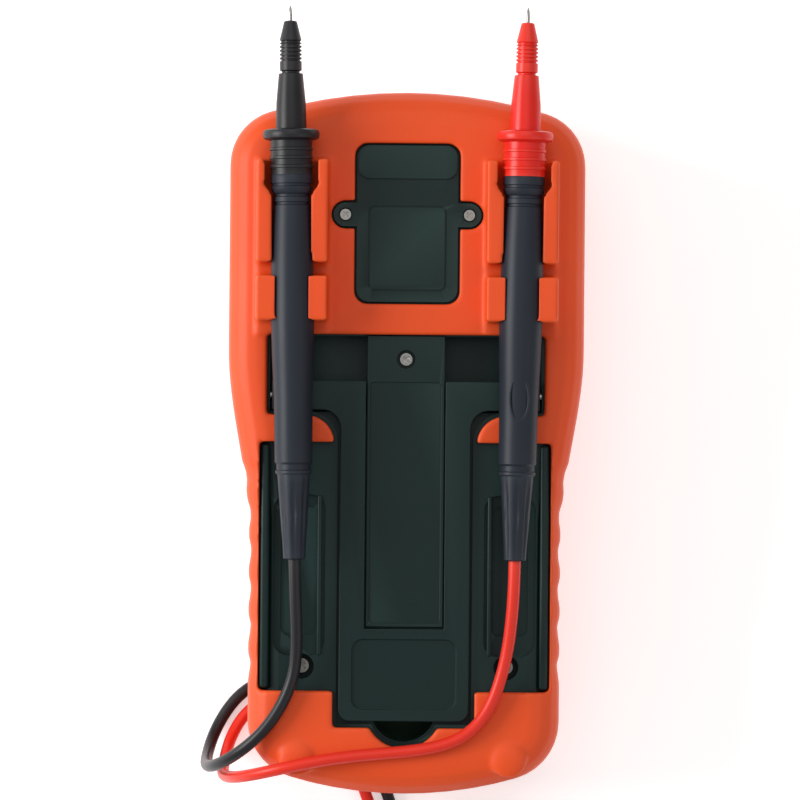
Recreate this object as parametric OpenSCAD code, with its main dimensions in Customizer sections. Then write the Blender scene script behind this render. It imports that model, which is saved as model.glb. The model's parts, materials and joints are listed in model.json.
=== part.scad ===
// Handheld digital multimeter in a rubber boot, lying on its face, with its
// two test probes clipped to its back. X is across the meter, +Y runs towards
// the probe tips, and +Z points out of the meter's back.

/* [Boot] */
// Length of the rubber boot
case_len = 190.5; // [188:0.5:240]
// Width of the boot across the display end
case_w = 96.5; // [94:0.5:120]
// Width of the boot at the hand grip
waist_w = 84.6; // [82:0.2:94]
// Thickness of the boot from its front rim to its back
case_t = 45; // [44:0.5:60]
// Height of the four corner bumpers on the front
bumper_h = 4.5; // [4.2:0.1:8]
// Wall of the boot
boot_wall = 3.2; // [2.4:0.1:3.6]
// Width of the boot's lip around the front panel
lip_w = 9.5; // [8:0.1:11]
// Spacing of the hand-grip scallops
grip_pitch = 10.3; // [6:0.1:16]
// Depth of each hand-grip scallop
grip_depth = 0.8; // [0.2:0.1:1.2]

/* [Case shells] */
// Wall of the two plastic shells
shell_wall = 2.2; // [1.8:0.1:2.6]
// Height of the seam between the shells above the table
seam_z = 26; // [24:0.5:30]
// Radius of the four case screws
case_screw_r = 1.3; // [1:0.05:1.5]
// Distance of the case screws from the meter's centre line
case_screw_x = 27.7; // [27:0.1:29]

/* [Battery] */
// Thickness of the block battery
battery_t = 17.5; // [14.5:0.1:21]
// Length of the block battery
battery_len = 48.5; // [40:0.1:52]
// Depth of the block battery
battery_h = 26.2; // [20:0.1:26.5]

/* [Tilt stand] */
// Width of the stand's two side rails
rail_w = 6.8; // [5:0.1:9]
// Thickness of the stand
stand_t = 3; // [2.2:0.1:3.1]
// Width of the stand's arms along the meter
arm_w = 7.8; // [7:0.1:9]
// Reach of each arm from the centre line
arm_reach = 36.2; // [34:0.1:37]
// Radius of the stand's hinge pins
pin_r = 1.3; // [1:0.05:1.6]
// Length of each hinge pin
pin_len = 9; // [7:0.1:12]

/* [Front panel] */
// Radius of the selector knob
knob_r = 18; // [14:0.1:22]
// Width of the display window
lens_w = 64; // [50:0.5:66]
// Height of the display window
lens_h = 37; // [30:0.5:40]
// Length of each push key
key_l = 12.4; // [9:0.1:14]
// Width of each push key
key_w = 6.4; // [4:0.1:8]
// Spacing of the push keys
key_pitch = 17.5; // [17.2:0.1:18.5]
// Radius of the bore of an input jack
jack_r = 2.05; // [1.95:0.01:2.2]
// Spacing of the input jacks
jack_pitch = 16; // [15:0.1:16.5]
// Depth of the bore of an input jack
jack_len = 17; // [14:0.1:18]

/* [Circuit board] */
// Thickness of the circuit board
board_t = 1.6; // [0.8:0.1:2]

/* [Test probes] */
// Radius of the probe handle at its thickest
grip_r = 5.85; // [5:0.05:7.2]
// Radius of the finger guard
guard_r = 7.6; // [7.3:0.1:9]
// Distance of each probe from the boot's side
probe_edge = 17.3; // [17:0.1:18]
// Angle at which each probe leans outwards
probe_lean = 0.9; // [0:0.1:1]
// Length of each probe clip along the meter
clip_len = 46.9; // [44:0.1:48]
// Reach of the probe tips past the boot
tip_out = 22.25; // [18:0.25:30]
// Diameter of the test leads
lead_d = 3.3; // [3:0.1:3.6]

/* [Hidden] */

gap = 0.15;             // fit between the boot and the shells
slack = 0.3;            // gap around a piece that drops into a recess
run = 0.05;             // running clearance of a pin in its bore
eps = 0.05;
top_y = case_len/2;
bot_y = -case_len/2;
tip_y = top_y + tip_out;
mid_y = (tip_y + bot_y)/2;

rim_z = bumper_h;                      // boot's front rim
back_z = rim_z + case_t;               // boot's back
panel_z = rim_z + 0.8;                 // front panel's face
face_z = rim_z + boot_wall + gap;      // shell's front under the lip
face_in_z = panel_z + shell_wall;      // front panel's inner face
shell_z = back_z - boot_wall - gap;    // rear shell's back
back_wall = shell_wall + 1.2;          // rear shell's back wall
shell_in_z = shell_z - back_wall;
floor_z = shell_z - 1.2;               // floor of the stand's recess
board_z = face_in_z + 6.5;             // board's front side
board_top = board_z + board_t;

// Outline of the boot: two long arcs, four corner arcs and a waisted side.
top_arc = 132;
top_corner = 15;
bot_arc = 109;
bot_corner = 16;
waist_hi = 25;
waist_lo = -25;
grip_hi = -5;
grip_lo = -65;
plain_step = 6;         // spacing of the side's points where there are no scallops

function clamp01(v) = max(0, min(1, v));
function smooth(v) = v*v*(3 - 2*v);
function arc(c, r, a0, a1, n) =
    [for (i = [1:n]) let (a = a0 + (a1 - a0)*i/n) [c[0] + r*cos(a), c[1] + r*sin(a)]];
function side_x(y) =
    case_w/2 - (case_w - waist_w)/2*smooth(clamp01((waist_hi - y)/(waist_hi - waist_lo)));
function scallop(y) = (y < grip_hi && y > grip_lo)
    ? grip_depth*max(0, cos(360*(y - grip_hi + grip_pitch*0.4)/grip_pitch)) : 0;
function half_outline(step) =
    let (tc = [0, top_y - top_arc], tx = case_w/2 - top_corner,
         ty = tc[1] + sqrt(pow(top_arc - top_corner, 2) - tx*tx), ta = atan2(ty - tc[1], tx),
         bc = [0, bot_y + bot_arc], bx = waist_w/2 - bot_corner,
         by = bc[1] - sqrt(pow(bot_arc - bot_corner, 2) - bx*bx), ba = atan2(by - bc[1], bx),
         n = floor((ty - by)/step))
    concat([[0, top_y]], arc(tc, top_arc, 90, ta, 5), arc([tx, ty], top_corner, ta, 0, 7),
           [for (i = [1:n - 1]) let (y = ty - i*(ty - by)/n) [side_x(y), y]],
           [[side_x(by), by]], arc([bx, by], bot_corner, 0, ba, 7), arc(bc, bot_arc, ba, -90, 5));
function outline(step) =
    let (h = half_outline(step), n = len(h))
    concat(h, [for (i = [n - 2:-1:1]) [-h[i][0], h[i][1]]]);
function inward(p) = let (n = len(p))
    [for (i = [0:n - 1]) let (d = p[(i + 1)%n] - p[(i + n - 1)%n]) [d[1], -d[0]]/norm(d)];
function inset(d) = let (p = outline(plain_step), v = inward(p)) [for (i = [0:len(p) - 1]) p[i] + v[i]*d];

// A solid whose rings follow the outline, with quarter-ellipse edges front and back.
// The grip scallops are cut along the smooth outline's normals and fade out at both
// rims, so that no ring crosses itself. A level is [inset, height, share of the scallop].
module rounded_shell(grips, d, z0, z1, front, back) {
    levels = concat([for (i = [0:4]) let (a = 22.5*i)
                     [d + front[0]*(1 - sin(a)), z0 + front[1]*(1 - cos(a)), sin(a)]],
                    [for (i = [0:4]) let (a = 22.5*i)
                     [d + back[0]*(1 - cos(a)), z1 - back[1]*(1 - sin(a)), cos(a)]]);
    p = outline(grips ? grip_pitch/4 : plain_step);
    v = inward(p);
    cut = [for (q = p) grips ? scallop(q[1]) : 0];
    n = len(p);
    m = len(levels);
    points = [for (l = levels) for (i = [0:n - 1]) let (q = p[i] + v[i]*(l[0] + l[2]*cut[i])) [q[0], q[1], l[1]]];
    sides = [for (k = [0:m - 2]) for (i = [0:n - 1])
             [k*n + i, k*n + (i + 1)%n, (k + 1)*n + (i + 1)%n, (k + 1)*n + i]];
    polyhedron(points, concat(sides, [[for (i = [n - 1:-1:0]) i]], [[for (i = [0:n - 1]) (m - 1)*n + i]]));
}

// Flat shapes
module block(x0, x1, y0, y1, z0, z1) {
    translate([x0, y0, z0]) cube([x1 - x0, y1 - y0, z1 - z0]);
}
module pillar(x, y, z0, z1, r, fn = 48) {
    translate([x, y, z0]) cylinder(h = z1 - z0, r = r, $fn = fn);
}
module round_rect(w, h, r) {
    union() {
        square([w - 2*r, h], center = true);
        square([w, h - 2*r], center = true);
        for (sx = [-1, 1], sy = [-1, 1]) translate([sx*(w/2 - r), sy*(h/2 - r)]) circle(r = r, $fn = 32);
    }
}
module slab(w, h, r, x, y, z0, z1) {
    translate([x, y, z0]) linear_extrude(z1 - z0) round_rect(w, h, r);
}
module both() {
    for (s = [-1, 1]) scale([s, 1, 1]) children();
}
// The meter is set with its middle, probe tips included, over the origin.
module placed() {
    translate([0, -mid_y, 0]) children();
}

// Places on the back
clip_w = 19.4;
clip_top = top_y - 19;
clip_bot = clip_top - clip_len;
clip_mid = (clip_top + clip_bot)/2;
probe_x = case_w/2 - probe_edge;
win_top = clip_bot;
pivot_y = win_top - 16.5;
pivot_z = floor_z - 1.6;
stand_z = floor_z + 0.2;
cover_half = battery_t/2 + 1.65;
rail_in = cover_half + 0.4;
leg_half = rail_in + rail_w;
leg_bot = bot_y + 20.1;
leg_win_half = leg_half + 1.6;
win_bot = leg_bot - 1.8;
arm_lo = pivot_y - arm_w/2;
arm_hi = pivot_y + arm_w/2;
win_arm_lo = arm_lo - 1.4;
win_arm_half = arm_reach + 1.3;
wing_half = waist_w/2 - 2.9;
wing_top = pivot_y - 12.6;
wing_bot = bot_y + 28.2;
corner_fill = 8;
notch_r = 10.4;
notch_in = 5.5;

module back_window(shrink) {
    union() {
        difference() {
            translate([-win_arm_half + shrink, win_arm_lo - corner_fill])
                square([2*(win_arm_half - shrink), win_top - win_arm_lo + corner_fill - shrink]);
            both() difference() {
                translate([leg_win_half - shrink, win_arm_lo - corner_fill - 1])
                    square([60, corner_fill + 1 + shrink]);
                translate([leg_win_half - shrink - 1, win_arm_lo + shrink - corner_fill])
                    difference() {
                        square([corner_fill + 1, corner_fill + 1]);
                        translate([corner_fill + 1, 0]) circle(r = corner_fill, $fn = 48);
                    }
            }
        }
        translate([-leg_win_half + shrink, win_bot + shrink])
            square([2*(leg_win_half - shrink), win_arm_lo - win_bot]);
        translate([0, win_bot - notch_in + notch_r]) circle(r = notch_r - shrink, $fn = 64);
    }
}
module wings() {
    translate([-wing_half, wing_bot]) square([2*wing_half, wing_top - wing_bot]);
}

// Hanger plate
plate_top = top_y - 14.8;
plate_bot = plate_top - 42.2;
ear_r = 3.2;
ear_x = probe_x - clip_w/2 - 1.3 - ear_r;
ear_y = plate_top - 18.7;
plate_half = ear_x - 3.1;
module plate_outline(grow) {
    union() {
        translate([0, (plate_top + plate_bot)/2]) round_rect(2*(plate_half + grow), plate_top - plate_bot + 2*grow, 3.4);
        translate([-ear_x, ear_y - ear_r - grow]) square([2*ear_x, 2*(ear_r + grow)]);
        both() translate([ear_x, ear_y]) circle(r = ear_r + grow, $fn = 48);
    }
}

// Probes lie along +Y of this frame, which leans a little in its clip.
probe_z = back_z + grip_r + 0.85;
module on_probe(side) {
    translate([side*probe_x, clip_mid, probe_z]) rotate([0, 0, -side*probe_lean]) children();
}
// A turned piece: profile points are [distance along the probe, radius].
module turned(profile, fn = 48) {
    rotate([-90, 0, 0]) rotate_extrude($fn = fn)
        polygon(concat([[0, profile[0][0]]], [for (p = profile) [p[1], p[0]]], [[0, profile[len(profile) - 1][0]]]));
}

module clip_pair() {
    both() translate([probe_x, 0, 0]) {
        block(-clip_w/2, clip_w/2, clip_bot, clip_top, back_z - 1.5, back_z + 0.6);
        for (s = [-1, 1]) scale([s, 1, 1]) {
            block(4, clip_w/2, clip_top - 27.8, clip_top, back_z, probe_z + 3.4);
            block(3.4, clip_w/2, clip_bot + 3.4, clip_top - 31.3, back_z, probe_z + 4.4);
        }
    }
}
module clip_channels() {
    for (side = [-1, 1]) on_probe(side) {
        turned([[-clip_len, grip_r + 0.2], [clip_len/2 - 9.8, grip_r + 0.2], [clip_len/2 - 7, guard_r + 0.2],
                [clip_len/2 + 30, guard_r + 0.2]]);
    }
}
module bumpers() {
    intersection() {
        linear_extrude(rim_z + 6) difference() {
            polygon(inset(3.6));
            polygon(inset(lip_w));
        }
        union() {
            both() block(24, 60, top_y - 30, top_y, 0, rim_z + 6);
            both() block(19, 60, bot_y, bot_y + 18.5, 0, rim_z + 6);
        }
    }
}

module boot() {
    color([0.93, 0.38, 0.12]) placed() difference() {
        union() {
            difference() {
                union() {
                    rounded_shell(true, 0, rim_z, back_z, [6, 11], [8, 8]);
                    bumpers();
                }
                rounded_shell(false, boot_wall, rim_z + boot_wall, shell_z + gap, [4, 8], [5, 5.5]);
                translate([0, 0, -1]) linear_extrude(rim_z + boot_wall + 2) polygon(inset(lip_w));
            }
            clip_pair();
            both() translate([waist_w/2 - 13.7, bot_y + 10, back_z - 0.4]) scale([1, 1, 0.3])
                sphere(r = 5, $fn = 24);
        }
        clip_channels();
        translate([0, 0, shell_z - 4]) linear_extrude(20) {
            difference() {
                back_window(0);
                both() translate([probe_x - clip_w/2 - 1, win_top]) square([60, 60]);
            }
        }
        translate([0, 0, shell_z - 12]) linear_extrude(40) wings();
        translate([0, 0, shell_z - 1]) linear_extrude(9) plate_outline(0.6);
    }
}

// Rear shell
well_in = rail_in - 0.3;
well_out = arm_reach + 0.6;
well_z = pivot_z - 4.7;
bay_half = battery_t/2 + 0.5;
bay_wall = 1.6;
bay_floor = shell_z - 2.2 - battery_h - 0.3;
bay_bot = -battery_len - 0.4;
bay_top = 9.5;
cover_t = 2.6;
cover_z = floor_z - 0.5;
cover_top = win_top - 0.35;
cover_bot = bay_bot - 0.7;
cover_screw_y = cover_top - 6.3;
screw_low_y = bot_y + 34.7;
screw_high_y = top_y - 13.3;
hanger_screw_r = 1;

module case_screw_places() {
    for (s = [-1, 1], y = [screw_low_y, screw_high_y]) translate([s*case_screw_x, y, 0]) children();
}
module case_blank(d, z0, z1) {
    rounded_shell(false, boot_wall + gap + d, z0, z1, [4, 8], [5, 5.5]);
}
module rear_case() {
    boss_top = shell_z - 1;
    color([0.10, 0.22, 0.20]) placed() difference() {
        difference() {
            case_blank(0, face_z, shell_z);
            translate([-200, -200, 0]) cube([400, 400, seam_z]);
            difference() {
                case_blank(shell_wall, face_z - 5, shell_in_z);
                both() block(well_in - bay_wall, well_out + bay_wall, arm_lo - 2.2, win_top + 1.3,
                             well_z - bay_wall, shell_z);
                block(-bay_half - bay_wall, bay_half + bay_wall, bay_bot - bay_wall, bay_top + bay_wall,
                      bay_floor - bay_wall, shell_z);
                case_screw_places() pillar(0, 0, seam_z, boss_top, 5.2);
                both() pillar(ear_x, ear_y, seam_z + 10, boss_top, 3);
                pillar(0, cover_screw_y, seam_z + 6, boss_top, 4);
            }
        }
        translate([0, 0, floor_z]) linear_extrude(5) back_window(0.9);
        block(-cover_half - slack, cover_half + slack, cover_bot - slack, cover_top + slack, cover_z, shell_z + 1);
        block(-bay_half, bay_half, bay_bot, bay_top, bay_floor, shell_z + 1);
        both() block(well_in, well_out, arm_lo - 0.6, win_top - 0.4, well_z, shell_z + 1);
        both() translate([well_out - 1, pivot_y, pivot_z]) rotate([0, 90, 0]) cylinder(h = 4, r = pin_r + 0.01, $fn = 32);
        translate([0, 0, floor_z - 5]) linear_extrude(9) intersection() {
            translate([0, win_bot - notch_in + notch_r]) circle(r = notch_r - 1.6, $fn = 64);
            translate([-20, win_bot - notch_in]) square([40, notch_in + 4]);
        }
        both() slab(14, 43.6, 4, (leg_win_half + wing_half)/2 - 0.8, (wing_top + wing_bot)/2 - 2.4, shell_z - 1.3, shell_z + 1);
        both() slab(10, 35, 2, (leg_win_half + wing_half)/2 - 0.8, (wing_top + wing_bot)/2 - 1.2, shell_z - 2.1, shell_z + 1);
        case_screw_places() {
            pillar(0, 0, seam_z - 1, shell_z, case_screw_r + 0.3);
            pillar(0, 0, shell_z - 5.4, shell_z + 1, 3.4);
        }
        both() pillar(ear_x, ear_y, shell_z - 8.5, shell_z + 1, hanger_screw_r + 0.01, 32);
        pillar(0, cover_screw_y, cover_z - 9, shell_z, 1.21, 32);
    }
}

// Front shell
display_y = top_y - 39;
key_y = display_y - lens_h/2 - 10.5;
knob_y = key_y - 41;
jack_y = bot_y + 23.5;
key_names = ["power", "hold", "range", "light"];
function key_x(i) = (i - (len(key_names) - 1)/2)*key_pitch;
function jack_x(i) = (i - 1.5)*jack_pitch;
bezel_r = 7;
hub_r = 5;
module front_case() {
    lens_seat = 1.1;
    color([0.12, 0.13, 0.14]) placed() difference() {
        difference() {
            union() {
                case_blank(0, face_z, shell_z);
                translate([0, 0, panel_z]) linear_extrude(face_z - panel_z + 0.5) polygon(inset(lip_w + 0.4));
            }
            translate([-200, -200, seam_z - 0.1]) cube([400, 400, 60]);
            difference() {
                union() {
                    case_blank(shell_wall, face_z + shell_wall, shell_z);
                    translate([0, 0, face_in_z]) linear_extrude(4) polygon(inset(lip_w + 3));
                }
                case_screw_places() {
                    pillar(0, 0, panel_z, board_z - 0.1, 4.6);
                    pillar(0, 0, panel_z, seam_z - 0.1, 3.1);
                }
            }
        }
        slab(lens_w - 4, lens_h - 4, 2, 0, display_y, panel_z - 1, face_in_z + 1);
        slab(lens_w + 0.3, lens_h + 0.3, 3, 0, display_y, panel_z - 1, panel_z + lens_seat);
        for (i = [0:len(key_names) - 1])
            slab(key_l + 0.5, key_w + 0.5, 2.2, key_x(i), key_y, panel_z - 1, face_in_z + 1);
        pillar(0, knob_y, panel_z - 1, face_in_z + 1, hub_r + 0.3);
        pillar(0, knob_y, panel_z - 1, panel_z + 0.6, knob_r + 0.5);
        for (i = [0:3]) pillar(jack_x(i), jack_y, panel_z - 1, bezel_z + bezel_len + 0.1, bezel_r + 0.05);
        case_screw_places() pillar(0, 0, seam_z - 11, seam_z, case_screw_r + 0.01, 32);
    }
}

module battery_cover() {
    color([0.11, 0.23, 0.21]) placed() difference() {
        block(-cover_half, cover_half, cover_bot, cover_top, cover_z + 0.1, cover_z + 0.1 + cover_t);
        slab(2*cover_half - 1.6, cover_top - cover_bot - 13.4, 1, 0, (cover_top + cover_bot)/2 - 5.8,
             cover_z + cover_t - 0.25, cover_z + cover_t + 1);
        pillar(0, cover_screw_y, cover_z - 1, cover_z + 4, 1.5, 32);
        pillar(0, cover_screw_y, cover_z + 1, cover_z + 4, 2.5, 32);
    }
}

// A pan-head screw with a cross recess, head upwards, seated at z.
module screw(x, y, z, head_r, head_h, shank_r, shank_len) {
    difference() {
        union() {
            pillar(x, y, z, z + head_h, head_r, 32);
            pillar(x, y, z - shank_len, z + eps, shank_r, 32);
        }
        for (a = [45, 135]) translate([x, y, z + head_h]) rotate([0, 0, a])
            cube([head_r*1.2, head_r*0.3, head_h*0.9], center = true);
    }
}
module battery_cover_screw() {
    color([0.75, 0.75, 0.72]) placed() screw(0, cover_screw_y, cover_z + 1.05, 1.7, 1, 1.2, 9);
}

module hanger_plate() {
    z = shell_z + 0.05;
    color([0.10, 0.22, 0.20]) placed() difference() {
        union() {
            translate([0, 0, z]) linear_extrude(2.5) plate_outline(0);
            slab(2*plate_half - 0.7, 8.9, 3, 0, plate_top - 4.45, z + 1, z + 3.3);
        }
        difference() {
            slab(21.2, 23.1, 2, 0, plate_bot + 14.4, z + 2.2, z + 4);
            slab(20.2, 22.1, 1.6, 0, plate_bot + 14.4, z, z + 5);
        }
        both() {
            pillar(ear_x, ear_y, z - 1, z + 4, 1.2, 32);
            pillar(ear_x, ear_y, z + 1.4, z + 4, 1.85, 32);
        }
    }
}
module hanger_screws() {
    color([0.75, 0.75, 0.72]) placed() both() screw(ear_x, ear_y, shell_z + 1.5, 1.5, 0.9, hanger_screw_r, 9);
}
module case_screws() {
    color([0.7, 0.7, 0.68]) placed() for (s = [-1, 1], y = [screw_low_y, screw_high_y])
        screw(s*case_screw_x, y, shell_z - 5.35, 2, 1.4, case_screw_r, 23);
}

// Tilt stand: a U of two rails whose upper ends turn outwards to the hinge pins.
knuckle_r = 3;
module tilt_stand() {
    color([0.12, 0.25, 0.22]) placed() difference() {
        union() {
            translate([0, 0, stand_z]) linear_extrude(stand_t) difference() {
                union() {
                    translate([0, (leg_bot + arm_hi - 1)/2]) round_rect(2*leg_half, arm_hi - 1 - leg_bot, 3);
                    translate([-arm_reach, arm_lo]) square([2*arm_reach, arm_w]);
                    both() translate([leg_half - 1, arm_lo - 5]) difference() {
                        square([6, 6]);
                        translate([6, 0]) circle(r = 5, $fn = 32);
                    }
                }
                translate([-rail_in, cover_bot - 0.6]) square([2*rail_in, 200]);
            }
            both() translate([rail_in + 1, pivot_y, pivot_z]) rotate([0, 90, 0])
                cylinder(h = arm_reach - rail_in - 1, r = knuckle_r, $fn = 40);
            both() block(rail_in + 1, arm_reach, pivot_y - 2.6, pivot_y + 2.6, pivot_z, stand_z + eps);
        }
        both() translate([arm_reach - pin_len + 1.9, pivot_y, pivot_z]) rotate([0, 90, 0])
            cylinder(h = 20, r = pin_r + run, $fn = 32);
        slab(2*leg_half - 7, 19, 3, 0, leg_bot + 12.6, stand_z + stand_t - 0.6, stand_z + stand_t + 1);
    }
}
module stand_pins() {
    color([0.7, 0.7, 0.7]) placed() both() translate([well_out + 1.5 - pin_len, pivot_y, pivot_z])
        rotate([0, 90, 0]) cylinder(h = pin_len, r = pin_r, $fn = 32);
}

// Display
module display_lens() {
    color([0.6, 0.65, 0.62, 0.5]) placed() slab(lens_w, lens_h, 2.9, 0, display_y, panel_z + 0.05, panel_z + 1.05);
}
module display_panel() {
    color([0.62, 0.68, 0.58]) placed() block(-lens_w/2 + 1, lens_w/2 - 1, display_y - lens_h/2 + 1,
        display_y + lens_h/2 - 1, face_in_z + 0.6, face_in_z + 2.4);
}
module display_frame() {
    color([0.9, 0.9, 0.88]) placed() difference() {
        block(-lens_w/2 - 2, lens_w/2 + 2, display_y - lens_h/2 - 2, display_y + lens_h/2 + 2,
              face_in_z + 0.1, board_z - 0.05);
        block(-lens_w/2 + 3, lens_w/2 - 3, display_y - lens_h/2 + 3, display_y + lens_h/2 - 3,
              face_in_z - 1, board_z + 1);
        block(-lens_w/2 + 0.9, lens_w/2 - 0.9, display_y - lens_h/2 + 0.9, display_y + lens_h/2 - 0.9,
              face_in_z + 0.55, board_z + 1);
    }
}
module contact_strips() {
    color([0.95, 0.6, 0.65]) placed() for (s = [-1, 1]) {
        y = display_y + s*(lens_h/2 - 2.2);
        block(-lens_w/2 + 4, lens_w/2 - 4, y - 1, y + 1, face_in_z + 2.45, board_z - 0.05);
    }
}

// Board and what stands on it
fuse_small_x = -(bay_half + bay_wall + 5.5);
fuse_large_x = bay_half + bay_wall + 7.8;
fuse_y = -33;
small_fuse_r = 3.15;
large_fuse_r = 5.1;
small_fuse_len = 32;
large_fuse_len = 38;
module main_board() {
    color([0.1, 0.4, 0.2]) placed() difference() {
        translate([0, 0, board_z]) linear_extrude(board_t) polygon(inset(boot_wall + shell_wall + 2));
        case_screw_places() pillar(0, 0, board_z - 1, board_top + 1, 3.5);
        for (i = [0:3]) pillar(jack_x(i), jack_y, board_z - 1, board_top + 1, jack_r + 1.05);
    }
}
module converter_chip() {
    color([0.08, 0.08, 0.08]) placed() {
        block(2, 18, display_y - 8, display_y + 8, board_top, board_top + 2);
        block(-4, 0, display_y - 14, display_y - 8, board_top, board_top + 1.6);
    }
}
module buzzer() {
    color([0.08, 0.08, 0.08]) placed() difference() {
        pillar(-20, display_y, board_top, board_top + 5, 8);
        pillar(-20, display_y, board_top + 3, board_top + 6, 1.2);
    }
}
module current_shunt() {
    x = jack_x(3) + 5.5;
    color([0.75, 0.55, 0.35]) placed() {
        for (s = [-1, 1]) pillar(x, fuse_y + 4*s + 24, board_top, board_top + 5, 0.9, 24);
        translate([x, fuse_y + 24, board_top + 5]) rotate([90, 0, 90]) rotate_extrude(angle = 180, $fn = 48)
            translate([4, 0]) circle(r = 0.9, $fn = 24);
    }
}
module fuse(x, r, l) {
    z = board_top + r + 1.2;
    translate([x, fuse_y, z]) rotate([90, 0, 0]) {
        cylinder(h = l - 2, r = r - 0.25, center = true, $fn = 40);
        for (s = [-1, 1]) translate([0, 0, s*(l/2 - 3)]) cylinder(h = 6, r = r, center = true, $fn = 40);
    }
}
module small_fuse() { color([0.9, 0.9, 0.86]) placed() fuse(fuse_small_x, small_fuse_r, small_fuse_len); }
module large_fuse() { color([0.92, 0.9, 0.84]) placed() fuse(fuse_large_x, large_fuse_r, large_fuse_len); }
module fuse_clip(x, y, r) {
    translate([x, y, board_top + r + 1.2]) rotate([90, 0, 0]) difference() {
        union() {
            cylinder(h = 4, r = r + 0.6, center = true, $fn = 40);
            translate([-r, -r - 1.2, -2]) cube([2*r, 2, 4]);
        }
        cylinder(h = 5, r = r + 0.02, center = true, $fn = 40);
        translate([-r*2, r*0.55, -3]) cube([r*4, r*2, 6]);
    }
}
module fuse_clips() {
    color([0.8, 0.75, 0.6]) placed() for (s = [-1, 1]) {
        fuse_clip(fuse_small_x, fuse_y + s*(small_fuse_len/2 - 3), small_fuse_r);
        fuse_clip(fuse_large_x, fuse_y + s*(large_fuse_len/2 - 3), large_fuse_r);
    }
}
module key_switches() {
    color([0.2, 0.2, 0.2]) placed() for (i = [0:len(key_names) - 1]) {
        block(key_x(i) - 3, key_x(i) + 3, key_y - 2.6, key_y + 2.6, board_z - 1.6, board_z);
        pillar(key_x(i), key_y, board_z - 2.1, board_z - 1.5, 1.4, 24);
    }
}

// Battery
snap_t = 5.4;
module battery() {
    y0 = bay_bot + 0.2;
    color([0.2, 0.2, 0.22]) placed() {
        block(-battery_t/2, battery_t/2, y0, y0 + battery_len - 2.6, bay_floor + 0.15, bay_floor + 0.15 + battery_h);
        for (s = [-1, 1]) translate([0, y0 + battery_len - 2.6 - eps, bay_floor + 0.15 + battery_h/2 + s*6.35])
            rotate([-90, 0, 0]) cylinder(h = 2.6, r = 2.9, $fn = 32);
    }
}
module battery_snap() {
    y0 = bay_bot + 0.2 + battery_len - 2.5;
    zc = bay_floor + 0.15 + battery_h/2;
    color([0.12, 0.12, 0.12]) placed() difference() {
        block(-battery_t/2 + 1.5, battery_t/2 - 1.5, y0, y0 + snap_t, zc - battery_h/2 + 0.6, zc + battery_h/2 - 0.6);
        for (s = [-1, 1]) translate([0, y0 - 1, zc + s*6.35]) rotate([-90, 0, 0])
            cylinder(h = 3.6, r = 3, $fn = 32);
    }
}

// Input jacks
bezel_z = panel_z - 0.3;
bezel_len = 8.2;
module jack_bezels() {
    color([0.6, 0.1, 0.1]) placed() for (i = [0:3]) translate([jack_x(i), jack_y, bezel_z]) difference() {
        union() {
            difference() {
                cylinder(h = bezel_len, r = bezel_r, $fn = 48);
                translate([0, 0, -1]) cylinder(h = bezel_len - 0.4, r = bezel_r - 1.3, $fn = 48);
            }
            translate([0, 0, 1.4]) cylinder(h = bezel_len - 1.4, r = jack_r + 1.9, $fn = 48);
        }
        translate([0, 0, -1]) cylinder(h = 30, r = jack_r + 1, $fn = 48);
    }
}
module jack_sleeves() {
    color([0.85, 0.7, 0.35]) placed() for (i = [0:3]) translate([jack_x(i), jack_y, bezel_z + 1.8]) difference() {
        cylinder(h = jack_len + 1, r = jack_r + 1, $fn = 48);
        translate([0, 0, -1]) cylinder(h = jack_len + 1, r = jack_r, $fn = 48);
    }
}

// Selector knob, its rotor and its detents
grip_bar_w = 8;
knob_z = panel_z + 0.2;
rotor_r = knob_r - 3;
module selector_knob() {
    color([0.1, 0.1, 0.1]) placed() translate([0, knob_y, 0]) {
        translate([0, 0, knob_z - 1.7]) cylinder(h = 1.9, r = knob_r, $fn = 72);
        intersection() {
            translate([0, 0, knob_z - 4.1]) cylinder(h = 3, r = knob_r - 0.6, $fn = 72);
            block(-grip_bar_w/2, grip_bar_w/2, -knob_r, knob_r, knob_z - 4.1, knob_z - 1.6);
        }
        cylinder_from(knob_z - 0.2, face_in_z + 3.6, hub_r);
    }
}
module cylinder_from(z0, z1, r) {
    translate([0, 0, z0]) cylinder(h = z1 - z0, r = r, $fn = 48);
}
module contact_rotor() {
    color([0.85, 0.85, 0.8]) placed() translate([0, knob_y, 0]) difference() {
        cylinder_from(face_in_z + 1.2, face_in_z + 3.2, rotor_r);
        cylinder_from(0, 60, hub_r);
        for (s = [-1, 1]) translate([s*(rotor_r - 3), 0, face_in_z + 0.9]) cylinder(h = 1.3, r = 1.25, $fn = 24);
    }
}
module detent_balls() {
    color([0.8, 0.8, 0.8]) placed() for (s = [-1, 1]) translate([s*(rotor_r - 3), knob_y, face_in_z + 1.12])
        sphere(r = 1, $fn = 24);
}
module rotor_contacts() {
    color([0.85, 0.7, 0.35]) placed() translate([0, knob_y, 0]) for (a = [0, 120, 240]) rotate([0, 0, a]) {
        block(-2, 2, 8, rotor_r - 1, face_in_z + 3.2, face_in_z + 3.6);
        for (x = [-1.2, 1.2]) translate([x, 11, face_in_z + 3.2]) cylinder_from(0, board_z - face_in_z - 3.4, 0.7);
    }
}

// Push keys
key_travel = 0.6;
module key(i) {
    slab(key_l, key_w, 2, key_x(i), key_y, panel_z - 0.9, face_in_z + 0.3);
    slab(key_l + 2.4, key_w + 2.4, 2, key_x(i), key_y, face_in_z + 0.2, face_in_z + 1.2);
    slab(4, 3, 0.8, key_x(i), key_y, face_in_z + 1.1, board_z - 2.2 - key_travel);
}
module key_power() { color([0.85, 0.35, 0.12]) placed() key(0); }
module key_hold() { color([0.5, 0.5, 0.52]) placed() key(1); }
module key_range() { color([0.5, 0.5, 0.52]) placed() key(2); }
module key_light() { color([0.85, 0.7, 0.15]) placed() key(3); }

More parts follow.
